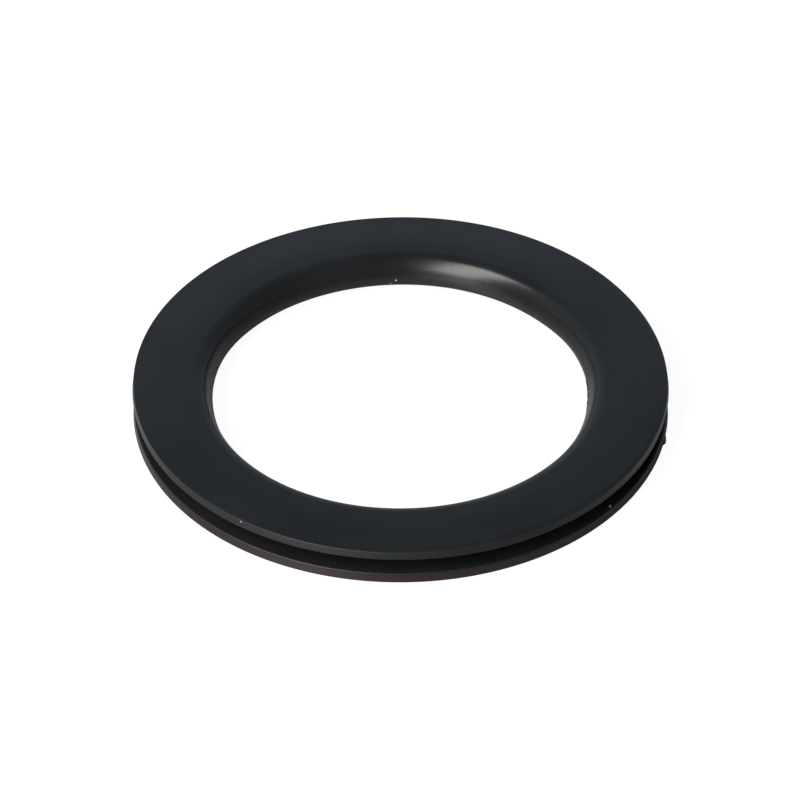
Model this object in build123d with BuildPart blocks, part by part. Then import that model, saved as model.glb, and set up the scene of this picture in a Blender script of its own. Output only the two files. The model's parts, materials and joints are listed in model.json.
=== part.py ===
"""Moulded rubber dust seal.

One ring of black rubber that snaps into a round hole in a panel.  In section it has an upper
flange whose top face is flat near the bore and falls away a little towards the rim, a groove that
takes the edge of the panel, a lower flange of nearly the same size, and a bore with a lip: a
rounded shoulder leads into a conical mouth, and the mouth narrows to a rounded nose.

Millimetres, +Z up along the bore, origin at the centre of the base.
"""

import math
import os
from build123d import *

# ---- driving dimensions ---------------------------------------------------------------------

# flanges; the diameters are at the lower edge of each rim, before rounding, and the rims lean back
upper_flange_diameter = 60.2
upper_flange_thickness = 1.2
upper_flange_fall = 0.1
lower_flange_diameter = 60.2
lower_flange_thickness = 1.2
rim_draft_angle = 5.0

# groove that takes the edge of the panel
panel_hole_diameter = 54.0
panel_thickness = 2.0

# bore: a conical mouth that narrows to the nose of the lip, where a short straight land is
bore_diameter = 42.4
lip_land_length = 0.3
lip_land_depth = 2.5
lip_nose_radius = 1.0
lip_underside_angle = 24.0
mouth_angle = 67.0
mouth_shoulder_radius = 1.8

# rounded corners of the section
upper_top_corner_radius = 0.1
upper_under_corner_radius = 0.2
lower_top_corner_radius = 0.15
base_corner_radius = 0.2
groove_root_radius = 0.3

# stub of rubber on the rim of the lower flange, where the mould was filled
gate_azimuth = -13.0
gate_proud = 0.36
gate_ramp_length = 1.9
gate_break_length = 0.6
gate_thickness = 0.6
gate_root_depth = 0.5

# ---- sizes that follow ----------------------------------------------------------------------

upper_radius = upper_flange_diameter / 2
lower_radius = lower_flange_diameter / 2
groove_radius = panel_hole_diameter / 2
bore_radius = bore_diameter / 2

groove_base = lower_flange_thickness
groove_top = groove_base + panel_thickness
seal_height = groove_top + upper_flange_thickness

# radii of the rims at their upper edges
draft = math.tan(math.radians(rim_draft_angle))
upper_edge_radius = upper_radius - upper_flange_thickness * draft
lower_edge_radius = lower_radius - lower_flange_thickness * draft

land_top = seal_height - lip_land_depth
land_base = land_top - lip_land_length


def corner_length(radius, turn):
    """The length a rounding takes from each side of a corner where the outline turns by an angle."""
    return radius * math.tan(math.radians(turn) / 2)


# the corners of the mouth and of the lip's underside, where their slopes meet the bore
mouth_corner = land_top + corner_length(lip_nose_radius, 90 - mouth_angle)
underside_corner = land_base - corner_length(lip_nose_radius, 90 - lip_underside_angle)

# where those slopes reach the top face and the base, and where the shoulder of the mouth begins
mouth_radius = bore_radius + (seal_height - mouth_corner) / math.tan(math.radians(mouth_angle))
underside_radius = bore_radius + underside_corner / math.tan(math.radians(lip_underside_angle))
shoulder_radius = mouth_radius + corner_length(mouth_shoulder_radius, mouth_angle)

# the outer half of the top face falls away to the rim
fall_start_radius = (shoulder_radius + upper_edge_radius) / 2

# the gate is at the middle of the straight part of the lower rim
gate_height = (base_corner_radius + groove_base - lower_top_corner_radius) / 2
gate_rim_radius = lower_radius - gate_height * draft
gate_direction = Vector(1, 0, 0).rotate(Axis.Z, gate_azimuth)
gate_plane = Plane(
    origin=gate_direction * gate_rim_radius + Vector(0, 0, gate_height),
    x_dir=gate_direction,
    z_dir=(0, 0, 1),
)


def rim_point(along):
    """The point of the lower flange's rim that lies a distance along it from the gate."""
    return (math.sqrt(gate_rim_radius**2 - along**2) - gate_rim_radius, along)


# ---- the seal -------------------------------------------------------------------------------

with BuildPart() as dust_seal:
    # half of the section, with radius along X and height along Y
    with BuildSketch(Plane.XZ) as section:
        with BuildLine():
            Polyline(
                (fall_start_radius, seal_height),
                (mouth_radius, seal_height),
                (bore_radius, mouth_corner),
                (bore_radius, underside_corner),
                (underside_radius, 0),
                (lower_radius, 0),
                (lower_edge_radius, groove_base),
                (groove_radius, groove_base),
                (groove_radius, groove_top),
                (upper_radius, groove_top),
                (upper_edge_radius, seal_height - upper_flange_fall),
            )
            TangentArc(
                (fall_start_radius, seal_height),
                (upper_edge_radius, seal_height - upper_flange_fall),
                tangent=(1, 0),
            )
        make_face()

        def corner(radius, height):
            """The corner of the section nearest to a radius and a height."""
            return section.vertices().sort_by_distance((radius, height))[0]

        fillet(corner(upper_edge_radius, seal_height), upper_top_corner_radius)
        fillet(corner(upper_radius, groove_top), upper_under_corner_radius)
        fillet(corner(groove_radius, groove_top), groove_root_radius)
        fillet(corner(groove_radius, groove_base), groove_root_radius)
        fillet(corner(lower_edge_radius, groove_base), lower_top_corner_radius)
        fillet(corner(lower_radius, 0), base_corner_radius)
        fillet(corner(mouth_radius, seal_height), mouth_shoulder_radius)
        fillet(corner(bore_radius, mouth_corner), lip_nose_radius)
        fillet(corner(bore_radius, underside_corner), lip_nose_radius)
    revolve(axis=Axis.Z)

    # gate stub: a gentle ramp along the rim that ends in a short torn break
    with BuildSketch(gate_plane):
        with BuildLine():
            Polyline(
                (-gate_root_depth, gate_ramp_length),
                rim_point(gate_ramp_length),
                (gate_proud, 0),
                rim_point(-gate_break_length),
                (-gate_root_depth, -gate_break_length),
                close=True,
            )
        make_face()
    extrude(amount=gate_thickness / 2, both=True)

dust_seal.part.label = "dust_seal"

os.makedirs("parts", exist_ok=True)
export_step(dust_seal.part, "parts/dust_seal.step")
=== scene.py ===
# %% [markdown]
# # A moulded rubber dust seal
# A dust seal like this one is a single ring of black nitrile rubber.  It is pressed into a round
# hole in a sheet metal panel: the edge of the panel sits in the groove between the two flanges,
# and the rounded lip of the bore closes on whatever passes through.
#
# The construction model already holds every size, so the lesson starts by loading it as a fixed
# frame.  Nothing below moves or scales it.

# %% Load the frame
import json
import math
import bmesh
import bpy
import numpy as np
from mathutils import Matrix, Vector


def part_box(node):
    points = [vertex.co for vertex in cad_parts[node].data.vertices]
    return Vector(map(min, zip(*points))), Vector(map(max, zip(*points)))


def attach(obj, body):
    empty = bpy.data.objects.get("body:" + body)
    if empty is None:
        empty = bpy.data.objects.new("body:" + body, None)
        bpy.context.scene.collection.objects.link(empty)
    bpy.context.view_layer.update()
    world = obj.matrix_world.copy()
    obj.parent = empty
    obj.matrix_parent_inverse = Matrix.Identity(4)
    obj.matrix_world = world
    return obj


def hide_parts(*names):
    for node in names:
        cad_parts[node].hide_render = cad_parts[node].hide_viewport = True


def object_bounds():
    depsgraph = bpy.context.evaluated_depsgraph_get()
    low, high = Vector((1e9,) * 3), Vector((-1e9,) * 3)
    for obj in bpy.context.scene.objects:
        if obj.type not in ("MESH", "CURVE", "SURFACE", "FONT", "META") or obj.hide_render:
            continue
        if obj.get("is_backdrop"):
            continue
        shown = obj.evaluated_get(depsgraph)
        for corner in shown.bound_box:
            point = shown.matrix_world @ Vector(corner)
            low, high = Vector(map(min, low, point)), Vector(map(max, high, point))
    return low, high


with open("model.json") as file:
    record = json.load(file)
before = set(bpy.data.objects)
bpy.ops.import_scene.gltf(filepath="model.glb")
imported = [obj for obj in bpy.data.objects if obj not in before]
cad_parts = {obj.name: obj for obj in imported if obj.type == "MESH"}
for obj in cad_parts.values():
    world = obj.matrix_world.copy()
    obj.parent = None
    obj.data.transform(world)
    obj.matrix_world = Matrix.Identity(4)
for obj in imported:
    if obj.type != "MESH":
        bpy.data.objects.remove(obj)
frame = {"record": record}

cad_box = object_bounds()

# %% [markdown]
# ## Sizes
# Blender works in metres here, and a seal is thought of in millimetres, so one constant turns one
# into the other.  The diameters, heights and the groove could be typed in again, but then they
# could drift from the construction model.  They are read from the frame instead, and the places
# of everything added below are counted from them.

# %% Read the main sizes from the frame
MM = 0.001

mounts = {mount["name"]: mount for mount in frame["record"]["mounts"]}
bore = mounts["bore"]
groove = mounts["panel_groove"]
low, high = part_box("dust_seal")

lower_radius = high.x
upper_radius = lower_radius  # the two flanges are equally wide
seal_height = high.z - low.z
bore_radius = bore["dims"]["r_mm"] * MM
groove_radius = groove["dims"]["r_mm"] * MM
groove_base = groove["pos_m"][2] - groove["dims"]["length_mm"] * MM / 2
groove_top = groove_base + groove["dims"]["length_mm"] * MM
land_base = bore["pos_m"][2] - bore["dims"]["length_mm"] * MM / 2
land_top = land_base + bore["dims"]["length_mm"] * MM

print(f"outside {2000 * lower_radius:.1f} mm, bore {2000 * bore_radius:.1f} mm across")
print(f"height {1000 * seal_height:.1f} mm")
print(f"groove from {1000 * groove_base:.1f} to {1000 * groove_top:.1f} mm")

# %% [markdown]
# ## The section of the ring
# A ring like this is all section: whoever cuts the mould draws half of it and turns it about the
# axis.  The section could be drawn by hand as a curve in the viewport, but a soft part is read by
# its roundings, and those are easier to get right as numbers.
#
# The outline is a closed loop of points in radius and height.  It runs anticlockwise: out along
# the base, up the two flanges and the groove between them, and back over the lip of the bore.
# Four small functions make its stretches.  Flat stretches crowd their points towards both ends,
# so that smooth shading bends only where the rubber does.

# %% Four kinds of stretch in an outline
def on_circle(centre, radius, angle):
    """The point of a circle at an angle in degrees: the centre plus the radius times the cosine and sine."""
    turn = np.radians(angle)
    return np.stack((centre[0] + radius * np.cos(turn), centre[1] + radius * np.sin(turn)), axis=-1)


def rounding(radius, height, size, start, end, count):
    """Points on a circle of one size about a centre, at evenly spaced angles."""
    return on_circle((radius, height), size, np.linspace(start, end, count))


def flat(start, end, count):
    """Points on a straight line, spaced by half a cosine wave, so that they crowd towards both ends."""
    share = (1 - np.cos(np.pi * np.linspace(0, 1, count + 2)[1:-1])) / 2
    return np.array(start) + np.outer(share, np.array(end) - np.array(start))


def bend(start, leaving, end, arriving, count):
    """A cubic curve between two points that leaves and arrives at given angles: the four powers of the
    share along it weigh the ends and two handles, which are a third of the distance away from them."""
    reach = np.linalg.norm(end - start) / 3
    first = on_circle(start, reach, leaving)
    second = on_circle(end, -reach, arriving)
    share = np.linspace(0, 1, count + 2)[1:-1, None]
    rest = 1 - share
    return rest**3 * start + 3 * rest**2 * share * first + 3 * rest * share**2 * second + share**3 * end


print("a quarter turn in five points:", rounding(0, 0, 1, 0, 90, 5).round(2).tolist())

# %% [markdown]
# ## The roundings of the section
# Rubber leaves the mould with every corner a little round, and how round is what the light shows.
# A Bevel modifier would round them all alike, but here the shoulder of the mouth has thirty times
# the radius of the edge of the rim, so each gets its own size.  The rims lean in by a few degrees,
# so that the ring lets go of the mould.
#
# The mouth of the bore is not a plain cone: it leaves the shoulder at a slope of 50 degrees and
# meets the nose at 72, and that slow bend is what draws a reflection out into a long almond.

# %% Name the roundings and slopes
nose_radius = 1.0 * MM
mouth_angle = 67.0  # the mean slope, which sets where the mouth begins
mouth_upper_slope = 50.0
mouth_lower_slope = 72.0
shoulder_radius = 1.8 * MM
underside_angle = 24.0
upper_corner = 0.06 * MM
upper_underside_corner = 0.26 * MM
lower_corner = 0.10 * MM
base_corner = 0.20 * MM
root_corner = 0.30 * MM
rim_draft = 5.0
print(f"roundings from {1000 * upper_corner:.2f} to {1000 * shoulder_radius:.2f} mm")


# %% Work out where the slopes and roundings meet
def corner_length(radius, turn):
    """The length that a rounding takes from each side of a corner: its radius times the tangent of
    half the turn."""
    return radius * math.tan(math.radians(turn) / 2)


mouth_corner = land_top + corner_length(nose_radius, 90 - mouth_angle)
mouth_radius = bore_radius + (seal_height - mouth_corner) / math.tan(math.radians(mouth_angle))
lip_edge = mouth_radius + corner_length(shoulder_radius, mouth_angle)
underside_corner = land_base - corner_length(nose_radius, 90 - underside_angle)
underside_radius = bore_radius + underside_corner / math.tan(math.radians(underside_angle))

nose_top = (bore_radius + nose_radius, land_top)
nose_base = (bore_radius + nose_radius, land_base)
nose_end = on_circle(nose_base, nose_radius, 270 - underside_angle)
shoulder = (lip_edge, seal_height - shoulder_radius)
mouth_top = on_circle(shoulder, shoulder_radius, 90 + mouth_upper_slope)
mouth_base = on_circle(nose_top, nose_radius, 90 + mouth_lower_slope)

upper_lean = (seal_height - groove_top) * math.tan(math.radians(rim_draft))
lower_lean = groove_base * math.tan(math.radians(rim_draft))
lower_edge = lower_radius - lower_lean - lower_corner
upper_edge = upper_radius - upper_lean - upper_corner
upper_underside = upper_radius - upper_underside_corner
root = groove_radius + root_corner
print(f"the shoulder of the mouth begins at a radius of {1000 * lip_edge:.2f} mm")

# %% Draw the outline
lower_rim = (
    flat((underside_radius, 0), (lower_radius - base_corner, 0), 5),
    rounding(lower_radius - base_corner, base_corner, base_corner, -90, 0, 5),
    flat((lower_radius, base_corner), (lower_radius - lower_lean, groove_base - lower_corner), 9),
    rounding(lower_edge, groove_base - lower_corner, lower_corner, 0, 90, 7),
)
groove_walls = (
    flat((lower_edge, groove_base), (root, groove_base), 4),
    rounding(root, groove_base + root_corner, root_corner, 270, 180, 4),
    flat((groove_radius, groove_base + root_corner), (groove_radius, groove_top - root_corner), 1),
    rounding(root, groove_top - root_corner, root_corner, 180, 90, 4),
    flat((root, groove_top), (upper_underside, groove_top), 4),
)
upper_rim = (
    rounding(upper_underside, groove_top + upper_underside_corner, upper_underside_corner, -90, 0, 5),
    flat((upper_radius, groove_top + upper_underside_corner),
         (upper_radius - upper_lean, seal_height - upper_corner), 5),
    rounding(upper_edge, seal_height - upper_corner, upper_corner, 0, 90, 5),
    flat((upper_edge, seal_height), (lip_edge, seal_height), 13),
)
lip = (
    rounding(*shoulder, shoulder_radius, 90, 90 + mouth_upper_slope, 16),
    bend(mouth_top, 180 + mouth_upper_slope, mouth_base, 180 + mouth_lower_slope, 14),
    rounding(*nose_top, nose_radius, 90 + mouth_lower_slope, 180, 5),
    flat((bore_radius, land_top), (bore_radius, land_base), 2),
    rounding(*nose_base, nose_radius, 180, 270 - underside_angle, 12),
    flat(nose_end, (underside_radius, 0), 4),
)
outline = np.concatenate(lower_rim + groove_walls + upper_rim + lip)
print("points in the outline:", len(outline))

# %% [markdown]
# ## Turning the outline into a ring
# Blender's Screw modifier or the Spin tool would turn the outline about the axis too.  A grid of
# numbers is used instead, because the next steps change the ring in places, and on a grid each
# change is one formula.  The grid has two parameters: the place along the outline and the angle
# about the axis.  The angles crowd together at the gate, the place where the mould was filled,
# because a small stub of rubber stands there.

# %% Choose the angles about the axis
gate_azimuth = -13.0
gate_ramp = 3.6
gate_break = 1.4
gate_margin = 0.8

even_angles = np.linspace(-180, 180, 720, endpoint=False)
gate_angles = gate_azimuth + np.linspace(-gate_break - gate_margin, gate_ramp + gate_margin, 62)
azimuths = np.unique(np.concatenate((even_angles, gate_angles)).round(4))[:, None]
azimuth = np.radians(azimuths)
print("angles about the axis:", len(azimuths))

# %% Lay out the plain ring as two grids
radius = np.repeat(outline[None, :, 0], len(azimuths), axis=0)
height = np.repeat(outline[None, :, 1], len(azimuths), axis=0)
print("points in the grid:", radius.size)


# %% [markdown]
# ## Smooth steps and an uneven edge
# A perfect ring looks computed.  What the mould, the knife and the shelf leave on a real one is
# small, a tenth of a millimetre here and there, and each such change has to fade out without a
# crease.  Two helpers serve them all: a smooth step, and a line that is uneven without being
# random, so that the ring is the same every time it is made.  A noise function would be uneven
# too, but three sines can be read, and they close on themselves after a full turn.

# %% Two helpers for small changes
def ease(value):
    """Zero below 0, one above 1, and between them three times the square less twice the cube."""
    share = np.clip(value, 0, 1)
    return share * share * (3 - 2 * share)


def ragged(angle):
    """An uneven line between -1 and 1: the mean of three sines, whose counts about the ring share no
    factor, so that no two of them keep step."""
    return (np.sin(71 * angle + 1.0) + np.sin(109 * angle + 2.2) + np.sin(163 * angle)) / 3


print(f"a smooth step at a quarter of its way: {ease(0.25):.3f}")

# %% [markdown]
# ## A tired upper flange
# The upper flange is thin and free, so its rim sinks a little, and on one side it droops more.
# Sculpting would do it, but a formula keeps the change to the flange: the sinking grows with the
# square of the distance outward, and the droop takes only the last 0.6 mm of the rim.

# %% Thin the upper flange towards its rim
flange_thinning = 0.12 * MM
thinning_start = upper_radius - 5.08 * MM

outward = np.clip((radius - thinning_start) / (upper_radius - thinning_start), 0, 1)
upward = np.clip((height - groove_top) / (seal_height - groove_top), 0, 1)
height = height - flange_thinning * outward**2 * upward
print(f"the top face falls {1000 * flange_thinning:.2f} mm to its rim")

# %% Let the upper rim droop on one side
rim_droop = 0.16 * MM
droop_azimuth = math.radians(-40)
droop_start = upper_radius - 0.63 * MM

turned = ease((radius - droop_start) / (upper_radius - droop_start))
nearness = ((1 + np.cos(azimuth - droop_azimuth)) / 2) ** 2
height = height - rim_droop * nearness * turned * upward
print(f"the rim droops {1000 * rim_droop:.2f} mm more on one side")

# %% [markdown]
# ## Flash in the bore
# The two halves of the mould met on the narrow land of the bore, and a trace of rubber crept
# between them.  On one side the trimming left a short ragged length of it.  It could be a strip
# of its own, but it is part of the same rubber, so it is pushed out of the grid: a narrow bell
# curve across the land, a flat-topped one along it, and the uneven line on top.

# %% Leave flash on the land of the bore
flash_height = (land_top + land_base) / 2
flash_thickness = 0.10 * MM
flash_trace = 0.03 * MM
flash_left = 0.17 * MM
flash_azimuth = math.radians(0)
flash_spread = math.radians(9)
flash_unevenness = 0.35
flash_reach = 0.5 * MM

on_bore = radius < bore_radius + flash_reach
from_flash = (azimuth - flash_azimuth) / flash_spread
flash_wave = 1 + flash_unevenness * ragged(azimuth)
flash_proud = (flash_trace + flash_left * np.exp(-(from_flash**4))) * flash_wave
flash_profile = np.exp(-(((height - flash_height) / flash_thickness) ** 2))
radius = radius - on_bore * flash_proud * flash_profile
print(f"flash stands at most {1000 * flash_proud.max():.2f} mm proud")

# %% [markdown]
# ## The torn gate
# The rubber entered the mould through a gate on the lower rim.  When the sprue was torn off, a
# stub stayed: it rises slowly on one side and breaks off short on the other.  A separate block
# would need joining to the ring, so the rim itself is moved out, by a long ramp times a short
# break times a band of height, and a little of the uneven line roughens its face.

# %% Leave the stub of the gate on the lower rim
gate_proud = 0.30 * MM
gate_width = 0.60 * MM
gate_low = (groove_base - gate_width) / 2
gate_high = (groove_base + gate_width) / 2
gate_softness = 0.08 * MM
gate_unevenness = 0.12

past_gate = azimuths - gate_azimuth
ramp = ease(1 - past_gate / gate_ramp) * ease(1 + past_gate / gate_break)
above_foot = ease((height - gate_low) / gate_softness + 0.5)
below_head = ease((gate_high - height) / gate_softness + 0.5)
on_rim = radius > lower_radius - lower_corner
torn = 1 + gate_unevenness * ragged(3 * azimuth)
radius = radius + on_rim * gate_proud * ramp * above_foot * below_head * torn
print(f"the gate stands {1000 * (radius.max() - lower_radius):.2f} mm proud")

# %% [markdown]
# ## A ring that lies loose
# Soft rings are kept in bags and boxes and never come out quite round.  The back of this one
# sways by a few hundredths of a millimetre, never past the size it was drawn at, and the free lip
# of the bore leans in or out where it was pressed.  A Lattice modifier would bend the whole ring
# alike; here each lean fades out at the root of the lip, so that the flanges keep their line.

# %% Lay the ring a touch out of round
sway = 0.06 * MM
sway_count = 4
sway_azimuth = math.radians(62)

at_back = (1 + np.sin(azimuth)) / 2
swayed = sway * np.cos(sway_count * (azimuth - sway_azimuth)) * at_back
radius = np.where(radius > lower_radius, radius, np.minimum(radius + swayed, lower_radius))
print(f"the ring sways by up to {1000 * abs(swayed).max():.2f} mm")

# %% Let the soft lip lean in and out
lip_root = bore_radius + 2.8 * MM
lip_free = bore_radius + 1.1 * MM
leans = (
    # azimuth in degrees, spread in degrees, lean in mm
    (-13, 15, -0.18),
    (27, 11, 0.13),
    (156, 12, 0.10),
    (-174, 12, -0.06),
)

on_lip = ease((lip_root - radius) / (lip_root - lip_free))
for centre, spread, lean in leans:
    from_centre = (azimuths - centre + 180) % 360 - 180
    radius = radius + on_lip * lean * MM * np.exp(-((from_centre / spread) ** 2))
print(f"radius from {1000 * radius.min():.2f} to {1000 * radius.max():.2f} mm")


# %% [markdown]
# ## From a grid to a closed mesh
# A mesh is a list of corners and a list of faces that name them.  In a grid each face joins a
# point to its neighbours, and because both directions of this one come back to their start, the
# surface closes with no seam, no cap and no pole.  BMesh could add the faces one at a time; here
# the numbers go straight into the mesh in whole arrays, which is far faster.

# %% Make a closed surface from a grid
def closed_surface(name, points):
    """A mesh from a grid of points that closes on itself both ways: each point, its next ones along
    both directions and the one across form a four-sided face."""
    rows, columns, _ = points.shape
    index = np.arange(rows * columns).reshape(rows, columns)
    after = np.roll(index, -1, axis=0)
    faces = np.stack((index, after, np.roll(after, -1, axis=1), np.roll(index, -1, axis=1)), axis=-1)
    mesh = bpy.data.meshes.new(name)
    mesh.vertices.add(rows * columns)
    mesh.vertices.foreach_set("co", points.ravel())
    mesh.loops.add(faces.size)
    mesh.loops.foreach_set("vertex_index", faces.ravel().astype(np.int32))
    mesh.polygons.add(rows * columns)
    mesh.polygons.foreach_set("loop_start", np.arange(0, faces.size, 4, dtype=np.int32))
    mesh.polygons.foreach_set("use_smooth", np.ones(rows * columns, dtype=bool))
    mesh.update(calc_edges=True)
    mesh.validate()
    piece = bpy.data.objects.new(name, mesh)
    bpy.context.scene.collection.objects.link(piece)
    return piece


points = np.stack((radius * np.cos(azimuth), radius * np.sin(azimuth), height), axis=-1)
seal = closed_surface("seal_ring", points)
print("faces:", len(seal.data.polygons), "triangles:", 2 * len(seal.data.polygons))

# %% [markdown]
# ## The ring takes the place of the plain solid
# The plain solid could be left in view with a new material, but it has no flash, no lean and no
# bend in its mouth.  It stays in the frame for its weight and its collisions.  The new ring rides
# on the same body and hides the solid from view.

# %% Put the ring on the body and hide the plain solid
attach(seal, "root")
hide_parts("dust_seal")
print("the ring replaces: dust_seal")

# %% [markdown]
# ## Lint
# Bare rubber catches lint.  Four light flecks lie on this ring: two on the land of the bore, one
# on the ledge of the lower flange and one on the upper rim.  Painting them on with a texture would
# be possible, but a fleck is read by the edge it sticks up from, so each is a tiny flattened ball,
# squeezed along the radius and half sunk in the rubber.

# %% Scatter four flecks
flecks = (
    # azimuth in degrees, distance from the axis and height in metres, radius of the fleck in mm
    (91.3, bore_radius, land_base + 0.15 * MM, 0.16),
    (93.0, bore_radius, land_base - 0.26 * MM, 0.08),
    (-39.2, lower_radius - 0.43 * MM, groove_base + 0.02 * MM, 0.17),
    (-125.4, upper_radius - 0.08 * MM, seal_height - 0.37 * MM, 0.12),
)
fleck_flatness = 0.6

lint_shape = bmesh.new()
for fleck_azimuth, out, up, size in flecks:
    turn = math.radians(fleck_azimuth)
    spot = Matrix.Translation((out * math.cos(turn), out * math.sin(turn), up))
    squeezed = Matrix.Diagonal((fleck_flatness * size * MM, size * MM, size * MM, 1))
    faced = spot @ Matrix.Rotation(turn, 4, "Z") @ squeezed
    bmesh.ops.create_icosphere(lint_shape, subdivisions=2, radius=1, matrix=faced)
lint_mesh = bpy.data.meshes.new("lint_flecks")
lint_shape.to_mesh(lint_mesh)
lint_shape.free()
lint = bpy.data.objects.new("lint_flecks", lint_mesh)
bpy.context.scene.collection.objects.link(lint)
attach(lint, "root")
print("flecks:", len(flecks), "faces:", len(lint_mesh.polygons))


# %% [markdown]
# ## Colours and nodes
# A screen colour written in hex is bent by the sRGB curve, and Blender mixes light in straight
# numbers, so one function straightens every colour.  A second one adds a node, sets it up and
# links it in a single line, so that each material below reads as a short list.

# %% Two helpers for materials
def linear(hex_colour):
    """Turn an sRGB hex colour into linear RGBA: a straight line near black and a power of 2.4 above it."""
    srgb = np.array([int(hex_colour[i:i + 2], 16) for i in (1, 3, 5)]) / 255
    rgb = np.where(srgb <= 0.04045, srgb / 12.92, ((srgb + 0.055) / 1.055) ** 2.4)
    return (*rgb.tolist(), 1.0)


def add_node(tree, kind, settings=None, **inputs):
    """Add a node, set its properties, then link or fill its inputs.  An input is given by its name, or
    as i0, i1 and so on where only its number tells it apart."""
    node = tree.nodes.new(kind)
    for key, value in (settings or {}).items():
        setattr(node, key, value)
    for key, value in inputs.items():
        socket = node.inputs[int(key[1:])] if key[0] == "i" and key[1:].isdigit() else node.inputs[key]
        if isinstance(value, bpy.types.NodeSocket):
            tree.links.new(value, socket)
        else:
            socket.default_value = value
    return node


print("mid grey #808080 is", round(linear("#808080")[0], 3), "in straight numbers")

# %% [markdown]
# ## Where on the ring
# One rubber covers the ring, but its zones are not finished alike: the rims were trimmed, the
# groove is painted lighter as painted glare, the land of the bore is painted lighter as painted
# light from the table, and the lower rim is painted brown as warm table light.  Vertex paint
# could mark these zones; measuring from the axis and the base marks them too, needs no painting,
# and stays right if the mesh gets more points.  Each zone is a soft step between two radii or two
# heights, and a zone with more limits is a product of such steps.

# %% Measure from the axis and from the base
rubber = bpy.data.materials.new("moulded_nitrile_rubber")
rubber.use_nodes = True
rubber_nodes = rubber.node_tree

on_seal = add_node(rubber_nodes, "ShaderNodeTexCoord").outputs["Object"]
up_seal = add_node(rubber_nodes, "ShaderNodeSeparateXYZ", Vector=on_seal).outputs["Z"]
sideways = add_node(rubber_nodes, "ShaderNodeVectorMath", {"operation": "MULTIPLY"},
                    i0=on_seal, i1=(1, 1, 0)).outputs["Vector"]
from_axis = add_node(rubber_nodes, "ShaderNodeVectorMath", {"operation": "LENGTH"},
                     i0=sideways).outputs["Value"]
print("measures: height over the base, distance from the axis")

# %% Mark the zones with soft steps
soft_step = {"interpolation_type": "SMOOTHSTEP"}
steps = {
    # what is measured, what it is counted from, and where the step starts and ends, in mm
    "on_rims": (from_axis, lower_radius, -0.38, -0.23),
    "on_face": (from_axis, lower_radius, -0.18, -0.13),
    "outside": (from_axis, groove_radius, -2.0, -1.0),
    "inside": (from_axis, bore_radius, 2.3, 1.3),
    "above_base": (up_seal, groove_base, -0.2, 0.3),
    "below_top": (up_seal, groove_top, 0.2, -0.1),
    "low_down": (up_seal, groove_base, 0.0, -0.5),
    "below_nose": (up_seal, land_top, 0.6, -0.2),
    "down_lip": (up_seal, land_top, 1.3, -0.1),
    "on_top": (up_seal, seal_height, -0.4, -0.3),
}
zones = {}
for name, (measure, origin, start, end) in steps.items():
    step = add_node(rubber_nodes, "ShaderNodeMapRange", soft_step,
                    i0=measure, i1=origin + start * MM, i2=origin + end * MM)
    zones[name] = step.outputs["Result"]
print("steps:", ", ".join(steps))

# %% Join steps into zones
products = {
    "between": ("above_base", "below_top"),
    "in_groove": ("between", "outside"),
    "on_low_rim": ("low_down", "on_face"),
    "on_land": ("inside", "below_nose"),
    "low_lip": ("inside", "down_lip"),
}
for name, (first, second) in products.items():
    product = add_node(rubber_nodes, "ShaderNodeMath", {"operation": "MULTIPLY"},
                       i0=zones[first], i1=zones[second])
    zones[name] = product.outputs["Value"]
print("zones:", ", ".join(products))

# %% [markdown]
# ## The colour of the rubber
# Nitrile rubber is filled with carbon black, which leaves a surface almost without colour: what
# the eye takes for grey is the room mirrored in its skin.  One flat black would do from afar, but
# from close by it looks like a hole in the render, so faint things are laid over it.  A haze
# drifts over the moulded skin in patches some 8 mm wide.  Three layers are painted light: the
# groove is painted lighter as painted glare, the land of the bore is painted a lighter brownish
# grey as painted light thrown back by the table, and the lower rim is painted brown as the warm
# light that the table throws back onto it.

# %% Colour the rubber
black = linear("#0d0f11")
hazed = linear("#131516")
# painted glare: a lighter grey for the groove, standing in for light seen in the recess
painted_groove_glare = linear("#242423")
# painted warm light: brown on the lower rim, standing in for warm light the table throws back
painted_warm_bounce = linear("#201715")
# painted light: a lighter brownish grey on the land of the bore, standing in for light from the table
painted_table_light = linear("#1a1a18")
haze_size = 8 * MM
haze_start = 0.35
haze_end = 0.65

haze = add_node(rubber_nodes, "ShaderNodeTexNoise", Vector=on_seal,
                Scale=1 / haze_size, Detail=3.0).outputs["Fac"]
patches = add_node(rubber_nodes, "ShaderNodeMapRange", i0=haze, i1=haze_start, i2=haze_end).outputs["Result"]
layers = (
    # where the layer lies, and its colour
    (patches, hazed),
    # the next three layers are painted light
    (zones["in_groove"], painted_groove_glare),
    (zones["on_low_rim"], painted_warm_bounce),
    (zones["on_land"], painted_table_light),
)
colour = black
for where, layer in layers:
    colour = add_node(rubber_nodes, "ShaderNodeMix", {"data_type": "RGBA"},
                      i0=where, i6=colour, i7=layer).outputs[2]
rubber_shader = rubber_nodes.nodes["Principled BSDF"]
rubber_nodes.links.new(colour, rubber_shader.inputs["Base Color"])
print("layers over the black:", len(layers))

# %% [markdown]
# ## The gloss of the rubber
# The skin takes its gloss from the polished steel of the mould, so the top face mirrors the room
# softly.  The rims were trimmed and look matt, and the lip loses its gloss towards the land.  A
# single roughness is quicker to set, but then the trimmed rims would shine like the skin.
#
# A black rubber skin reflects less than glass or a hard plastic, so its specular level is set
# below the usual half, while the index of refraction stays at the typical 1.5.

# %% Set the gloss
skin_roughness = 0.25
lip_roughness = 0.26
rim_roughness = 0.42
lip_wear = 0.5
specular_level = 0.33
rubber_ior = 1.5

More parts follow.
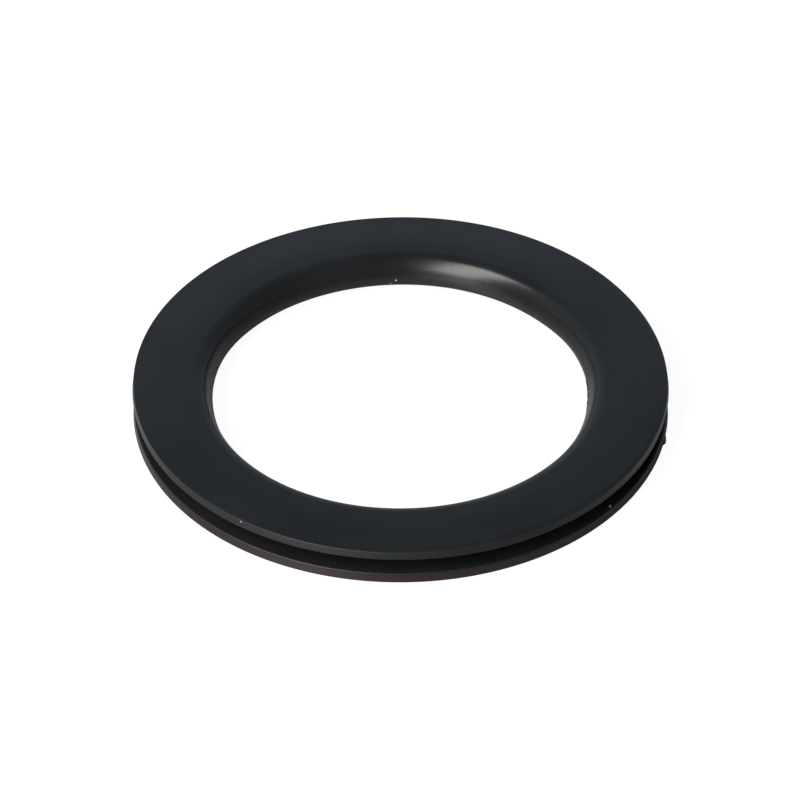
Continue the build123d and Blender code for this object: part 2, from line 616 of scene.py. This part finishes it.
half_worn = add_node(rubber_nodes, "ShaderNodeMath", {"operation": "MULTIPLY"},
                     i0=zones["low_lip"], i1=lip_wear)
matt = add_node(rubber_nodes, "ShaderNodeMath", {"operation": "MAXIMUM"},
                i0=zones["on_rims"], i1=half_worn.outputs["Value"])
skin_gloss = add_node(rubber_nodes, "ShaderNodeMapRange",
                      i0=zones["inside"], i3=skin_roughness, i4=lip_roughness)
gloss = add_node(rubber_nodes, "ShaderNodeMix", {"data_type": "FLOAT"},
                 i0=matt.outputs["Value"], i2=skin_gloss.outputs["Result"], i3=rim_roughness)
rubber_nodes.links.new(gloss.outputs[0], rubber_shader.inputs["Roughness"])
rubber_shader.inputs["Specular IOR Level"].default_value = specular_level
rubber_shader.inputs["IOR"].default_value = rubber_ior
print(f"roughness {skin_roughness} on the skin, {rim_roughness} on the rims")

# %% [markdown]
# ## The moulded skin
# Three things are too shallow to be worth modelling and are left to bump, which only tilts the
# light.  The top face dishes very slightly towards its rim.  Fine streaks run down the lip, as
# polishing strokes across the mould leave them, about a quarter of a millimetre wide.  And the
# whole skin has a soft grain of the same size, a few thousandths of a millimetre deep.
#
# The streaks come from a noise that is read by direction alone: it is the same all the way up and
# out from the axis, and changes only around it.

# %% Dish the top face and draw the streaks and the grain
dish_depth = 0.30 * MM
dish_start = bore_radius + 3.1 * MM
dish_end = upper_radius + 0.22 * MM
streak_width = 0.24 * MM
streak_depth = 0.012 * MM
grain_size = 0.25 * MM
grain_depth = 0.004 * MM

dish = add_node(rubber_nodes, "ShaderNodeMapRange", soft_step,
                i0=from_axis, i1=dish_start, i2=dish_end, i3=0.0, i4=-dish_depth).outputs["Result"]
around_axis = add_node(rubber_nodes, "ShaderNodeVectorMath", {"operation": "NORMALIZE"},
                       i0=sideways).outputs["Vector"]
streaks = add_node(rubber_nodes, "ShaderNodeTexNoise", Vector=around_axis,
                   Scale=bore_radius / streak_width, Detail=2.0).outputs["Fac"]
grain = add_node(rubber_nodes, "ShaderNodeTexNoise", Vector=on_seal,
                 Scale=1 / grain_size, Detail=2.0).outputs["Fac"]

dished = add_node(rubber_nodes, "ShaderNodeBump", Strength=zones["on_top"], Distance=1.0,
                  Height=dish).outputs["Normal"]
streaked = add_node(rubber_nodes, "ShaderNodeBump", Strength=zones["inside"], Distance=streak_depth,
                    Height=streaks, Normal=dished).outputs["Normal"]
skin = add_node(rubber_nodes, "ShaderNodeBump", Distance=grain_depth,
                Height=grain, Normal=streaked).outputs["Normal"]
rubber_nodes.links.new(skin, rubber_shader.inputs["Normal"])
seal.data.materials.append(rubber)
print(f"streaks {1000 * streak_width:.2f} mm wide, grain {1000 * grain_size:.2f} mm across")

# %% [markdown]
# ## The look of the lint
# Lint is loose cotton and paper fibre.  It is matt and grey rather than white, because so small a
# tuft lets the black rubber show through.  It is far too small for a weave, so one colour and a
# high roughness are enough.

# %% Finish the lint
paper_lint = bpy.data.materials.new("paper_lint")
paper_lint.use_nodes = True
lint_shader = paper_lint.node_tree.nodes["Principled BSDF"]
lint_shader.inputs["Base Color"].default_value = linear("#7f7e7a")
lint_shader.inputs["Roughness"].default_value = 0.9
lint_mesh.materials.append(paper_lint)
print("materials:", seal.data.materials[0].name, lint_mesh.materials[0].name)

# %% [markdown]
# ## A white table
# Small parts are shown on white paper.  If the paper were lit until it turned white, the black
# ring would be washed out, so the two jobs are split by the Light Path node: the camera sees a
# paper that glows almost white and still takes the ring's shadow, and every other ray meets a
# smooth pale card with a soft sheen.  The card is painted greyer in a band that runs from front
# to back under the ring and paler to either side; that grey is painted shade, and it is what the
# rims mirror.

# %% Lay the floor
floor_reach = 4.0
corners = [(-floor_reach, -floor_reach, 0), (floor_reach, -floor_reach, 0),
           (floor_reach, floor_reach, 0), (-floor_reach, floor_reach, 0)]
floor_mesh = bpy.data.meshes.new("floor")
floor_mesh.from_pydata(corners, [], [(0, 1, 2, 3)])
floor = bpy.data.objects.new("floor", floor_mesh)
bpy.context.scene.collection.objects.link(floor)
floor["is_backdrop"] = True
print(f"floor {2 * floor_reach:.0f} m across")

# %% Finish the floor
band_edge = 24 * MM
pale_edge = 36 * MM
paper_glow = 0.95
paper_shade = 0.08

paper = bpy.data.materials.new("white_paper")
paper.use_nodes = True
paper_nodes = paper.node_tree
paper_nodes.nodes.remove(paper_nodes.nodes["Principled BSDF"])
on_paper = add_node(paper_nodes, "ShaderNodeTexCoord").outputs["Object"]
across = add_node(paper_nodes, "ShaderNodeSeparateXYZ", Vector=on_paper).outputs["X"]
aside = add_node(paper_nodes, "ShaderNodeMath", {"operation": "ABSOLUTE"}, i0=across).outputs["Value"]
beside = add_node(paper_nodes, "ShaderNodeMapRange", soft_step, i0=aside, i1=band_edge, i2=pale_edge)
# painted shade: the card is greyer in a band under the ring, for the dimmer floor the rims mirror
card_colour_and_painted_shade = add_node(paper_nodes, "ShaderNodeMix", {"data_type": "RGBA"}, i0=beside.outputs["Result"],
                       i6=linear("#a0a3a3"), i7=linear("#d2dada"))
card = add_node(paper_nodes, "ShaderNodeBsdfPrincipled",
                **{"Base Color": card_colour_and_painted_shade.outputs[2], "Roughness": 0.4},
                **{"Specular IOR Level": 1.0, "IOR": 1.5})
glow = add_node(paper_nodes, "ShaderNodeEmission", Color=(1, 1, 1, 1), Strength=paper_glow)
shaded = add_node(paper_nodes, "ShaderNodeBsdfDiffuse", Color=(paper_shade, paper_shade, paper_shade, 1))
seen_paper = add_node(paper_nodes, "ShaderNodeAddShader", i0=shaded.outputs[0], i1=glow.outputs[0])
paper_ray = add_node(paper_nodes, "ShaderNodeLightPath").outputs["Is Camera Ray"]
paper_mix = add_node(paper_nodes, "ShaderNodeMixShader", Fac=paper_ray,
                     i1=card.outputs[0], i2=seen_paper.outputs[0])
paper_nodes.links.new(paper_mix.outputs[0], paper_nodes.nodes["Material Output"].inputs["Surface"])
floor_mesh.materials.append(paper)
print("the camera sees white paper, the rubber mirrors a pale card")

# %% [markdown]
# ## The light of the room
# A room is never lit evenly, and a glossy black part shows that at once.  A picture of a studio
# wrapped about the scene would give it, but a formula is enough: the level falls slowly upward
# and to the right, rises a little to the back, and the light there is bluer.  The camera again
# sees plain white.

# %% Light the room
plain_level = 0.50
level_slope = (-0.10, 0.12, -0.22)

world = bpy.data.worlds.new("studio")
bpy.context.scene.world = world
world.use_nodes = True
room_nodes = world.node_tree
room_nodes.nodes.remove(room_nodes.nodes["Background"])
facing = add_node(room_nodes, "ShaderNodeTexCoord").outputs["Generated"]
uneven = add_node(room_nodes, "ShaderNodeVectorMath", {"operation": "DOT_PRODUCT"}, i0=facing, i1=level_slope)
level = add_node(room_nodes, "ShaderNodeMath", {"operation": "ADD"},
                 i0=uneven.outputs["Value"], i1=plain_level)
backward = add_node(room_nodes, "ShaderNodeSeparateXYZ", Vector=facing).outputs["Y"]
bluer = add_node(room_nodes, "ShaderNodeMapRange", i0=backward)
tint = add_node(room_nodes, "ShaderNodeMix", {"data_type": "RGBA"}, i0=bluer.outputs["Result"],
                i6=linear("#f0f5ff"), i7=linear("#dde9ff"))
room = add_node(room_nodes, "ShaderNodeBackground", Color=tint.outputs[2], Strength=level.outputs["Value"])
white = add_node(room_nodes, "ShaderNodeBackground", Color=(1, 1, 1, 1), Strength=1.0)
room_ray = add_node(room_nodes, "ShaderNodeLightPath").outputs["Is Camera Ray"]
room_mix = add_node(room_nodes, "ShaderNodeMixShader", Fac=room_ray, i1=room.outputs[0], i2=white.outputs[0])
room_nodes.links.new(room_mix.outputs[0], room_nodes.nodes["World Output"].inputs["Surface"])
print(f"room level {plain_level} and up to {np.linalg.norm(level_slope):.2f} more or less")

# %% [markdown]
# ## One tall window
# The bright almond on the far side of the lip is the mirror image of a window.  The lip falls
# there at a little over 50 degrees and faces the camera, so it mirrors what stands in front, to
# the left and about 35 degrees up, and that is where the lamp has to be.
#
# A point lamp would be mirrored as a dot, and a picture of a window is not needed: an area lamp,
# tall, narrow and tilted, gives the rubber its own shape to show.  Its power is worked out from
# its size, so that making it larger does not also make its face brighter.

# %% Hang the window
window_azimuth = math.radians(-138)
window_elevation = math.radians(35)
window_tilt = math.radians(30)
window_distance = 0.9
window_width = 0.44
window_height = 1.12
window_radiance = 12.0

window_direction = Vector((
    math.sin(window_azimuth) * math.cos(window_elevation),
    math.cos(window_azimuth) * math.cos(window_elevation),
    math.sin(window_elevation),
))
window_light = bpy.data.lights.new("window", "AREA")
window_light.shape = "RECTANGLE"
window_light.size = window_width
window_light.size_y = window_height
window_light.color = linear("#fffbf6")[:3]
window_light.energy = window_radiance * math.pi * window_width * window_height
window = bpy.data.objects.new("window", window_light)
bpy.context.scene.collection.objects.link(window)
window_turn = window_direction.to_track_quat("Z", "Y").to_matrix().to_4x4()
window_place = Matrix.Translation(window_direction * window_distance)
window.matrix_world = window_place @ window_turn @ Matrix.Rotation(window_tilt, 4, "Z")
print(f"window of {window_light.energy:.1f} W")

# %% [markdown]
# ## The camera
# A short lens close by would make the near side of a flat ring bulge, so a long one is used from
# over half a metre away.  It looks down at 39 degrees, so that the eye sees the top face, the far
# side of the lip and the near rims at once.  The Standard view shows colours as they were written.

# %% Place the camera
camera_distance = 0.6126
camera_elevation = math.radians(39.137)
camera_roll = math.radians(-0.217)
aim = Vector((-0.000068, 0.000563, 0.000692))

camera_data = bpy.data.cameras.new("camera")
camera_data.sensor_width = 36
camera_data.lens = 244.8
camera = bpy.data.objects.new("camera", camera_data)
bpy.context.scene.collection.objects.link(camera)
camera_place = camera_distance * Vector((0, -math.cos(camera_elevation), math.sin(camera_elevation)))
camera_turn = (aim - camera_place).to_track_quat("-Z", "Y").to_matrix().to_4x4()
camera.matrix_world = Matrix.Translation(camera_place) @ camera_turn @ Matrix.Rotation(camera_roll, 4, "Z")
bpy.context.scene.camera = camera
bpy.context.scene.view_settings.view_transform = "Standard"
print(f"camera {camera_distance:.3f} m away with a {camera_data.lens:.0f} mm lens")

# %% [markdown]
# ## The two boxes
# The ring that is seen has to stay inside the box of the construction model, or its size could
# not be trusted.  Both boxes are printed, so that they can be compared.

# %% Print the boxes and finish
boxes = {"cad": cad_box, "visual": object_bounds()}
boxes = {name: [list(lowest), list(highest)] for name, (lowest, highest) in boxes.items()}
print(boxes)
